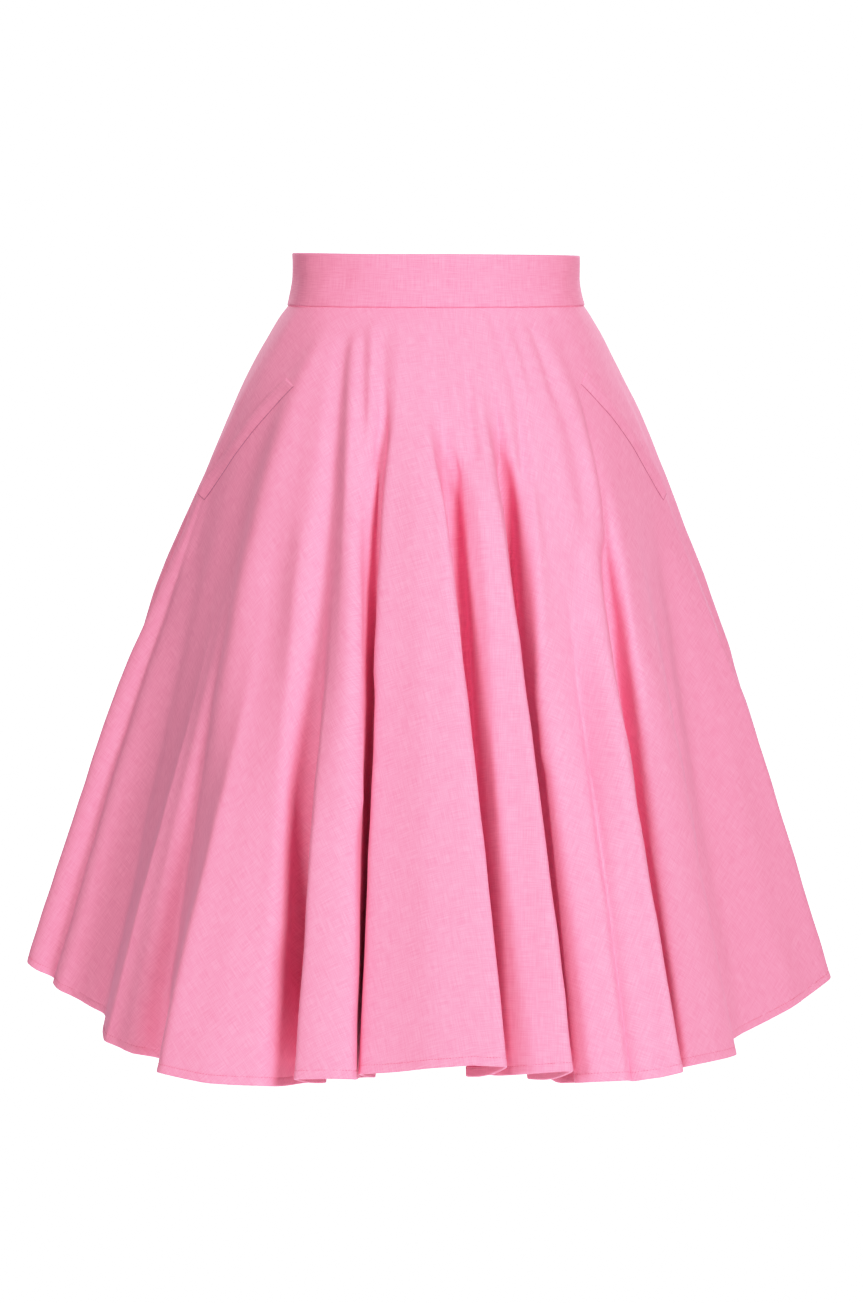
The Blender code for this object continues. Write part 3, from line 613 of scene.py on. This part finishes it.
def make_panel(name, start, end, material):
    """One cut panel of the skirt between two seams, its edges turned in at the seams."""
    columns = fold_columns(start, end)
    inside = (columns > start + SEAM_CLEAR) & (columns < end - SEAM_CLEAR)
    columns = np.concatenate([[start], columns[inside], [end]])
    above = panel_rows()
    share = 1.0 - above / CUT_LENGTH
    outer_out, inner_out = panel_offsets(above)
    outer, normal = on_cloth(columns, share, outer_out)
    inner, _ = on_cloth(columns, share, inner_out)
    cut = cut_place(columns[:, None], share[None, :])
    grids = []
    for grid, tuck_in in ((outer, 1.0), (inner, 0.0)):
        sides = []
        for edge, neighbour in ((0, 1), (-1, -2)):
            way = grid[neighbour] - grid[edge]
            way /= np.linalg.norm(way, axis=-1, keepdims=True)
            sides.append([grid[edge] + across * way - tuck_in * sink * normal[edge]
                          for across, sink in SEAM_TURN_IN])
        grids.append(np.concatenate([sides[0], grid[1:-1], sides[1][::-1]]))
    flat = np.concatenate([cut[:1]] * 3 + [cut[1:-1]] + [cut[-1:]] * 3)
    return shell(name, grids[0], grids[1], flat, material)


def band_half_sizes(share):
    """Half widths of the waistband's middle at a share of the way down from its top."""
    flare = np.clip((share - BAND_STRAIGHT) / (1.0 - BAND_STRAIGHT), 0.0, 1.0)
    top, foot = np.array(BAND_TOP), np.array(BAND_FOOT)
    return top + (foot - top) * flare ** BAND_FLARE_POWER


def make_waistband(material):
    """The one-piece band: a folded strip with a rolled top edge, open at centre back."""
    girth = 2.0 * math.pi * BAND_RADIUS
    angle = np.linspace(-180.0, 180.0, 361)
    trim = 360.0 * 0.5 * SEAM_GAP / girth
    angle = np.concatenate([[-180.0 + trim, -179.7], angle[1:-1], [179.7, 180.0 - trim]])
    edge_rows = np.array([0.0, 0.00022, 0.0007, BAND_EDGE, 0.0026])
    down = np.concatenate([edge_rows, np.linspace(0.0045, BAND_HEIGHT - 0.0045, 26),
                           BAND_HEIGHT - edge_rows[::-1]])
    near = np.minimum(down, BAND_HEIGHT - down)
    half = 0.5 * BAND_WALL * rounded(near, BAND_EDGE)
    run = np.radians(angle)
    tilt = -BAND_TILT * np.sin(run) + BAND_WAVER * np.sin(3.0 * run + 0.5)
    grids = []
    for side in (1.0, -1.0):
        columns = []
        for distance, wall in zip(down, half):
            share = distance / BAND_HEIGHT
            sizes = band_half_sizes(share)
            wave = BAND_WAVE * np.sin(17.0 * run + 4.0 * share) * np.sin(5.0 * run + 2.0)
            wave += BAND_WAVE * np.sin(9.0 * run - 3.0 * share)
            wave *= smooth(4.0 * share) * smooth(4.0 * (1.0 - share))
            turn = even_turn(sizes, angle)
            level = ellipse(sizes + side * wall, turn)
            level += (wave / np.linalg.norm(level, axis=1))[:, None] * level
            height = 0.5 * BAND_HEIGHT - distance + tilt * (1.0 - smooth(share))
            columns.append(np.concatenate([level, height[:, None]], axis=-1))
        grids.append(np.stack(columns, axis=1))
    cut = np.stack(np.broadcast_arrays(angle[:, None] / 360.0 * girth, down[None, :]), axis=-1)
    return shell("waistband_cloth", grids[0], grids[1], cut, material)


def make_welt(name, lower, upper, material, painted_seam_shade):
    """Folded strip along a pocket's mouth, sewn down at its seam and ends, its free edge proud."""
    lower, upper = np.array(lower), np.array(upper)
    way = (upper - lower) / np.linalg.norm(upper - lower)
    outwards = np.array([abs(way[1]), -abs(way[0])]) * (math.copysign(1.0, lower[0]), 1.0)
    length = np.linalg.norm(upper - lower)
    rows = np.array([0.0, 0.0003, 0.0009, WELT_EDGE])
    along = np.concatenate([rows, np.linspace(0.004, length - 0.004, 60), length - rows[::-1]])
    across = np.concatenate([rows, np.linspace(0.0032, WELT_WIDTH - 0.0032, 8),
                             WELT_WIDTH - rows[::-1]])
    flat = lower + along[:, None, None] * way + across[None, :, None] * outwards
    cut = np.stack(np.broadcast_arrays(along[:, None], across[None, :]), axis=-1)
    if lower[0] > 0.0:
        flat, cut, along = flat[::-1], cut[::-1], along[::-1]
    angle = np.degrees(np.arctan2(flat[..., 0], flat[..., 1]))
    share = (np.linalg.norm(flat, axis=-1) - WAIST_RADIUS) / CUT_LENGTH
    near = np.minimum(np.minimum(along, length - along)[:, None],
                      np.minimum(across, WELT_WIDTH - across)[None, :])
    full = WELT_SEAM_SHARE + (1.0 - WELT_SEAM_SHARE) * smooth(across / WELT_WIDTH * 1.6)
    thick = WELT_THICKNESS * full[None, :] * rounded(near, WELT_EDGE)
    free = smooth(across / WELT_WIDTH)[None, :] * np.sin(math.pi * along / length)[:, None]
    base, normal = on_cloth(angle.ravel(), share.reshape(-1, 1), HALF_CLOTH)
    base, normal = base.reshape(*angle.shape, 3), normal.reshape(*angle.shape, 3)
    under = WELT_CLEAR + WELT_PROUD * free
    grids = [base + (under + lift)[:, :, None] * normal for lift in (thick, 0.0 * thick)]
    welt = shell(name + "_cloth", grids[0][:, ::-1], grids[1][:, ::-1], cut[:, ::-1], material)
    # Painted shade: the faces in a narrow strip along the seam and at the lower end get a darker
    # cotton, for the shadow in the seam's ditch
    welt.data.materials.append(painted_seam_shade)
    from_sewn_edge = np.minimum(along[:, None], across[None, :])[:, ::-1]
    middle = 0.25 * (from_sewn_edge[:-1, :-1] + from_sewn_edge[1:, :-1] + from_sewn_edge[:-1, 1:] + from_sewn_edge[1:, 1:])
    for face, depth in zip(welt.data.polygons, middle.ravel()):
        face.material_index = int(depth < WELT_PAINTED_SHADE)
    return welt


def make_allowance(name, seam_angle, material):
    """The two seam allowances pressed open behind a seam, from the waist to the hem."""
    offsets = np.linspace(-ALLOWANCE_HALF_WIDTH, ALLOWANCE_HALF_WIDTH, 9)
    above = np.linspace(CUT_LENGTH - 0.004, HEM_HEIGHT + 0.002, 90)
    share = 1.0 - above / CUT_LENGTH
    radius = WAIST_RADIUS + share * CUT_LENGTH
    grids = [[], []]
    cuts = []
    for offset in offsets:
        angle = seam_angle + np.degrees(offset / radius)
        bevel = 0.4 * ALLOWANCE_THICKNESS * (abs(offset) > 0.9 * ALLOWANCE_HALF_WIDTH)
        near = HALF_CLOTH + ALLOWANCE_CLEAR
        for grid, depth in zip(grids, (near + bevel, near + ALLOWANCE_THICKNESS - bevel)):
            points, _ = on_cloth(angle, share[:, None], -depth)
            grid.append(points[:, 0])
        cuts.append(cut_place(angle, share))
    return shell(name, np.stack(grids[0]), np.stack(grids[1]), np.stack(cuts), material)


def add(tree, kind, links=None, **settings):
    """Add a node: links go to its inputs by name or number, settings to inputs or properties."""
    node = tree.nodes.new(kind)
    for key, value in settings.items():
        if key in node.inputs.keys():
            node.inputs[key].default_value = value
        else:
            setattr(node, key, value)
    for key, source in (links or {}).items():
        tree.links.new(source, node.inputs[key])
    return node


def linear(code):
    """Linear colour of an sRGB hex value such as F2A0C0."""
    parts = [int(code[k:k + 2], 16) / 255.0 for k in (0, 2, 4)]
    parts = [p / 12.92 if p <= 0.04045 else ((p + 0.055) / 1.055) ** 2.4 for p in parts]
    return (*parts, 1.0)


def new_material(name, **settings):
    """A material whose tree holds a Principled BSDF, with the settings given, and its output."""
    material = bpy.data.materials.new(name)
    material.use_nodes = True
    material.node_tree.nodes.clear()
    shader = add(material.node_tree, "ShaderNodeBsdfPrincipled", **settings)
    add(material.node_tree, "ShaderNodeOutputMaterial", {"Surface": shader.outputs["BSDF"]})
    return material, material.node_tree, shader


def emboss(tree, shader, height, strength, distance):
    """Let a height stand out on a shader's surface."""
    bump = add(tree, "ShaderNodeBump", {"Height": height}, Strength=strength, Distance=distance)
    tree.links.new(bump.outputs["Normal"], shader.inputs["Normal"])


def slub(tree, cut, thread, length, seed):
    """Uneven threads side by side, from a noise that is long one way and one thread wide."""
    turn = add(tree, "ShaderNodeMapping", {"Vector": cut.outputs["UV"]},
               Scale=(1.0 / thread, 1.0 / length, 1.0), Location=(seed, 0.37 * seed, 0.0))
    noise = add(tree, "ShaderNodeTexNoise", {"Vector": turn.outputs["Vector"]},
                noise_dimensions="2D", Scale=1.0, Detail=1.0, Roughness=0.5)
    return noise.outputs[0]


def woven_cotton(name, pale, deep, seed):
    """Slubbed plain-weave cotton, piece-dyed pink: matte, with pale and deep threads crossing.

    The real threads are about 0.4 mm apart, too fine to show. They are drawn 0.7 mm wide, so that
    those of one tone lie about 1.4 mm apart."""
    material, tree, shader = new_material(name, **{
        "Roughness": 0.82, "Specular IOR Level": 0.22, "Sheen Weight": 0.18,
        "Sheen Roughness": 0.45, "Sheen Tint": linear("DCD0F4")})
    cut = add(tree, "ShaderNodeUVMap", uv_map="cut")
    warp = slub(tree, cut, FINE_THREAD, FINE_SLUBS[0], 3.1 + seed)
    weft = slub(tree, cut, FINE_SLUBS[1], FINE_THREAD, 7.7 + seed)
    coarse_warp = slub(tree, cut, COARSE_THREAD, COARSE_SLUBS[0], 11.3 + seed)
    coarse_weft = slub(tree, cut, COARSE_SLUBS[1], COARSE_THREAD, 17.9 + seed)
    crossing = add(tree, "ShaderNodeMath", {0: warp, 1: weft}, operation="ADD")
    coarse = add(tree, "ShaderNodeMath", {0: coarse_warp, 1: coarse_weft}, operation="ADD")
    threads = add(tree, "ShaderNodeMath", {0: coarse.outputs[0], 2: crossing.outputs[0]},
                  operation="MULTIPLY_ADD")
    threads.inputs[1].default_value = COARSE_SHARE
    tone = add(tree, "ShaderNodeMapRange", {"Value": threads.outputs[0]},
               **{"From Min": 0.87, "From Max": 1.57})
    colour = add(tree, "ShaderNodeMix", {"Factor": tone.outputs["Result"]}, data_type="RGBA")
    colour.inputs["A"].default_value = linear(deep)
    colour.inputs["B"].default_value = linear(pale)
    tree.links.new(colour.outputs["Result"], shader.inputs["Base Color"])
    emboss(tree, shader, threads.outputs[0], 0.20, 0.0003)
    return material


def sewing_thread(name, code):
    """Spun polyester thread, a shade deeper than the cloth, slightly glossy on its twist."""
    material, tree, shader = new_material(name, **{"Base Color": linear(code), "Roughness": 0.55})
    place = add(tree, "ShaderNodeTexCoord")
    noise = add(tree, "ShaderNodeTexNoise", {"Vector": place.outputs["Object"]}, Scale=2600.0)
    emboss(tree, shader, noise.outputs[0], 0.3, 0.0001)
    return material


def nylon_tape(name, code):
    """Nylon of the zip's tape and coil: fine cross ribs, a little gloss."""
    material, tree, shader = new_material(name, **{"Base Color": linear(code), "Roughness": 0.5})
    place = add(tree, "ShaderNodeTexCoord")
    ribs = add(tree, "ShaderNodeTexWave", {"Vector": place.outputs["Object"]},
               bands_direction="Z", Scale=1.0 / 0.0022)
    emboss(tree, shader, ribs.outputs[1], 0.5, 0.0003)
    return material


def lacquered_zinc(name, code):
    """Die-cast zinc in baked pink lacquer: smooth and glossy, with a fine orange peel."""
    material, tree, shader = new_material(name, **{"Base Color": linear(code), "Roughness": 0.28,
                                                   "Coat Weight": 0.5})
    place = add(tree, "ShaderNodeTexCoord")
    peel = add(tree, "ShaderNodeTexNoise", {"Vector": place.outputs["Object"]}, Scale=900.0)
    emboss(tree, shader, peel.outputs[0], 0.15, 0.0001)
    return material


def path_tree(name, sizes, dye, result):
    """A Geometry Nodes tree that takes a path, sizes and a material, and its path as a curve."""
    tree = bpy.data.node_groups.new(name, "GeometryNodeTree")
    face = tree.interface
    face.new_socket("Path", in_out="INPUT", socket_type="NodeSocketGeometry")
    for label in sizes:
        face.new_socket(label, in_out="INPUT", socket_type="NodeSocketFloat")
    face.new_socket(dye, in_out="INPUT", socket_type="NodeSocketMaterial")
    face.new_socket(result, in_out="OUTPUT", socket_type="NodeSocketGeometry")
    given = add(tree, "NodeGroupInput").outputs
    return tree, given, add(tree, "GeometryNodeMeshToCurve", {"Mesh": given["Path"]})


def give_out(tree, made, material, result):
    """Make what was laid real, smooth and dyed, and give it out."""
    real = add(tree, "GeometryNodeRealizeInstances", {"Geometry": made})
    shade = add(tree, "GeometryNodeSetShadeSmooth", {"Geometry": real.outputs["Geometry"]})
    dyed = add(tree, "GeometryNodeSetMaterial",
               {"Geometry": shade.outputs["Geometry"], "Material": material})
    add(tree, "NodeGroupOutput", {result: dyed.outputs["Geometry"]})
    return tree


def stitch_tree():
    """Geometry Nodes that lay a row of stitches along a path of edges."""
    tree, given, curve = path_tree("row_of_stitches", ("Pitch", "Length", "Thickness"), "Thread",
                                   "Stitches")
    points = add(tree, "GeometryNodeResampleCurve",
                 {"Curve": curve.outputs["Curve"], "Length": given["Pitch"]}, mode="LENGTH")
    ball = add(tree, "GeometryNodeMeshUVSphere", Segments=6, Rings=4, Radius=0.5)
    size = add(tree, "ShaderNodeCombineXYZ",
               {"X": given["Length"], "Y": given["Thickness"], "Z": given["Thickness"]})
    tangent = add(tree, "GeometryNodeInputTangent")
    turn = add(tree, "FunctionNodeAlignRotationToVector", {"Vector": tangent.outputs["Tangent"]},
               axis="X")
    row = add(tree, "GeometryNodeInstanceOnPoints",
              {"Points": points.outputs["Curve"], "Instance": ball.outputs["Mesh"],
               "Rotation": turn.outputs["Rotation"], "Scale": size.outputs["Vector"]})
    return give_out(tree, row.outputs["Instances"], given["Thread"], "Stitches")


def coil_tree():
    """Geometry Nodes that draw a nylon wire along a path of edges."""
    tree, given, curve = path_tree("zip_coil", ("Wire",), "Nylon", "Coil")
    ring = add(tree, "GeometryNodeCurvePrimitiveCircle", {"Radius": given["Wire"]},
               mode="RADIUS", Resolution=6)
    tube = add(tree, "GeometryNodeCurveToMesh",
               {"Curve": curve.outputs["Curve"], "Profile Curve": ring.outputs["Curve"]},
               **{"Fill Caps": True})
    return give_out(tree, tube.outputs["Mesh"], given["Nylon"], "Coil")


def path_object(name, lines):
    """Mesh of open lines of points, for stitches or a wire to follow."""
    points, edges = [], []
    for line in lines:
        first = len(points)
        points += line.tolist()
        edges += [(first + k, first + k + 1) for k in range(len(line) - 1)]
    mesh = bpy.data.meshes.new(name)
    mesh.from_pydata(points, edges, [])
    return put(name, mesh)


def lay_along(name, lines, tree, sizes):
    """Run a tree along lines of points, its inputs set by name, and keep the plain mesh."""
    path = path_object(name + "_path", lines)
    modifier = path.modifiers.new("laid_along", "NODES")
    modifier.node_group = tree
    for item in tree.interface.items_tree:
        if item.in_out == "INPUT" and item.name in sizes:
            modifier[item.identifier] = sizes[item.name]
    shown = path.evaluated_get(bpy.context.evaluated_depsgraph_get())
    mesh = bpy.data.meshes.new_from_object(shown)
    mesh.name = name
    bpy.data.objects.remove(path)
    return put(name, mesh)


def sew(name, lines, tree, material):
    """Rows of stitches along lines of points, as one plain mesh."""
    return lay_along(name, lines, tree, {"Pitch": STITCH_PITCH, "Length": STITCH_LENGTH,
                                         "Thickness": THREAD, "Thread": material})


def zip_line(across, inside):
    """Points down the zip, at a distance across from centre back and a depth behind the cloth."""
    points = []
    angle = np.array([-180.0 + math.degrees(across / BAND_RADIUS)])
    for share in np.linspace(0.5 - TAPE_TOP / BAND_HEIGHT, TAPE_BAND_FOOT_SHARE, 6):
        sizes = band_half_sizes(share)
        level = ellipse(sizes - inside, even_turn(sizes, angle))[0]
        points.append([level[0], level[1], (0.5 - share) * BAND_HEIGHT])
    for share in np.linspace(TAPE_CLOTH_TOP_SHARE, TAPE_FOOT_SHARE, 24):
        turned = 180.0 + math.degrees(across / (WAIST_RADIUS + share * CUT_LENGTH))
        points.append(on_cloth(np.array([turned]), np.array([share]), -inside)[0][0, 0])
    return np.array(points)


def coil_line():
    """The coil's wire: from side to side of the zip, one tooth a pitch further down each time."""
    centre = zip_line(0.0, COIL_INSIDE)
    run = run_along(centre)
    down = np.arange(0.0, run[-1], 0.5 * COIL_PITCH)
    line = points_at(down, run, centre)
    line[:, 0] += COIL_HALF_WIDTH * np.where(np.arange(len(down)) % 2, 1.0, -1.0)
    return line


def hem_stitch_lines(outward):
    """Lines round the hem at the topstitch's height, one for each panel."""
    lines = []
    share = np.array([1.0 - STITCH_LINE / CUT_LENGTH])
    for _, _, start, end in PANELS:
        angle = np.arange(start + 0.1, end, 0.06)
        points, _ = on_cloth(angle, share, outward)
        lines.append(points[:, 0])
    return lines


def area_light(name, place, power):
    """Soft rectangular studio light, aimed at the skirt."""
    data = bpy.data.lights.new(name, "AREA")
    data.shape = "RECTANGLE"
    data.size, data.size_y = LIGHT_SIZE
    data.energy = power
    data.color = linear(LIGHT_COLOUR)[:3]
    light = put(name, data)
    light.location = place
    aim = Vector(LIGHT_AIM) - Vector(place)
    light.rotation_euler = aim.to_track_quat("-Z", "Y").to_euler()


def make_studio():
    """White surround, pale floor and the lights, brightest from the front, right of the camera."""
    world = bpy.data.worlds.new("white_studio")
    bpy.context.scene.world = world
    world.use_nodes = True
    tree = world.node_tree
    tree.nodes.clear()
    rays = add(tree, "ShaderNodeLightPath")
    seen = add(tree, "ShaderNodeBackground", Color=(1.0, 1.0, 1.0, 1.0), Strength=SEEN_WHITE)
    lit = add(tree, "ShaderNodeBackground", Color=linear("FFFAFC"), Strength=WORLD_LIGHT)
    mix = add(tree, "ShaderNodeMixShader", {0: rays.outputs["Is Camera Ray"],
                                            1: lit.outputs[0], 2: seen.outputs[0]})
    add(tree, "ShaderNodeOutputWorld", {"Surface": mix.outputs[0]})
    for light in LIGHTS:
        area_light(*light)
    half = FLOOR_HALF_WIDTH
    mesh = bpy.data.meshes.new("studio_floor")
    mesh.from_pydata([(x, y, FLOOR_HEIGHT) for x, y in
                      ((-half, -half), (half, -half), (half, half), (-half, half))],
                     [], [(0, 1, 2, 3)])
    material, _, _ = new_material("pale_floor", **{
        "Base Color": linear("FAFAFA"), "Roughness": 0.9,
        "Emission Color": (1.0, 1.0, 1.0, 1.0), "Emission Strength": FLOOR_GLOW})
    mesh.materials.append(material)
    put("studio_floor", mesh)


def soften_highlights():
    """A camera's shoulder: the brightest tones of a channel flatten off instead of clipping."""
    view = bpy.context.scene.view_settings
    view.view_transform = "Standard"
    view.use_curve_mapping = True
    mapping = view.curve_mapping
    mapping.clip_max_x = 2.0
    mapping.extend = "HORIZONTAL"
    for channel in mapping.curves[:3]:
        channel.points[0].location = (0.0, 0.0)
        channel.points[1].location = HIGHLIGHT_SHOULDER[-1]
        for place in HIGHLIGHT_SHOULDER[:-1]:
            channel.points.new(*place)
    mapping.update()


def make_camera():
    """The photograph's camera: long lens, a little above the waist and pitched down."""
    data = bpy.data.cameras.new("photo_camera")
    data.lens = CAMERA_LENS
    data.sensor_width = SENSOR
    camera = put("photo_camera", data)
    camera.location = CAMERA_PLACE
    camera.rotation_euler = (math.radians(90.0 - CAMERA_PITCH), 0.0, 0.0)
    bpy.context.scene.camera = camera


def dress(node, material):
    """Give a solid that stays in view its finished material."""
    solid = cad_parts[node]
    solid.data.materials.clear()
    solid.data.materials.append(material)


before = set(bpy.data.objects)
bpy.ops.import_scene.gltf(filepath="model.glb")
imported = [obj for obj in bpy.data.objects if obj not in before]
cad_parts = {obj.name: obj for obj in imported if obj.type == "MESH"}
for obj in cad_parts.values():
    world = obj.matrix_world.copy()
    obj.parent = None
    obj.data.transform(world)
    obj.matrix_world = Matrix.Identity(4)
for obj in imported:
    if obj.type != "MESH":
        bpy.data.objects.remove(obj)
soften_highlights()
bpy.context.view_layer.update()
make_camera()
make_studio()

skirt_cotton = woven_cotton("pink_slub_cotton", "F899B7", "EC86A7", 0.0)
band_cotton = woven_cotton("pink_slub_cotton_band", "F694B2", "E981A2", 5.0)
welt_cotton = woven_cotton("pink_slub_cotton_welt", "F797B5", "EA84A5", 9.0)
# Darker copy of the welt cotton: painted shade for the shadow along the welts' seams
painted_shade_cotton = woven_cotton("pink_slub_cotton_painted_seam_shade", "C66E8C", "B0597A", 9.0)
thread = sewing_thread("pink_polyester_thread", "DB6385")
dress("zip_tape", nylon_tape("pink_nylon_zip_tape", "E98BB1"))
coil_nylon = nylon_tape("pink_nylon_coil", "E486AC")
lacquer = lacquered_zinc("pink_lacquered_zinc", "E07FA8")
dress("zip_slider", lacquer)
dress("zip_pull", lacquer)

panels = {node: make_panel(name, start, end, skirt_cotton) for node, name, start, end in PANELS}
for node, panel in panels.items():
    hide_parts(node)
band = make_waistband(band_cotton)
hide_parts("waistband")
welts = []
for welt_name, welt_lower, welt_upper in WELTS:
    welt = make_welt(welt_name, welt_lower, welt_upper, welt_cotton, painted_shade_cotton)
    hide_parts(welt_name)
    welts.append(welt)
allowances = [make_allowance(name, angle, skirt_cotton) for name, angle in ALLOWANCES]
row_of_stitches = stitch_tree()
topstitch = sew("hem_topstitch", hem_stitch_lines(HALF_CLOTH - 0.6 * STITCH_GROOVE),
                row_of_stitches, thread)
under_stitch = sew("hem_under_stitch", hem_stitch_lines(-HALF_CLOTH - HEM_LAYERS),
                   row_of_stitches, thread)
tape_stitch = sew("zip_tape_stitch", [zip_line(side * TAPE_STITCH_ACROSS, TAPE_INSIDE)
                                      for side in (-1.0, 1.0)], row_of_stitches, thread)
coil = lay_along("zip_coil", [coil_line()], coil_tree(), {"Wire": COIL_WIRE, "Nylon": coil_nylon})

for piece in [*panels.values(), band, *welts, *allowances, topstitch, under_stitch, tape_stitch]:
    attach(piece, BODY)
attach(coil, BODY)
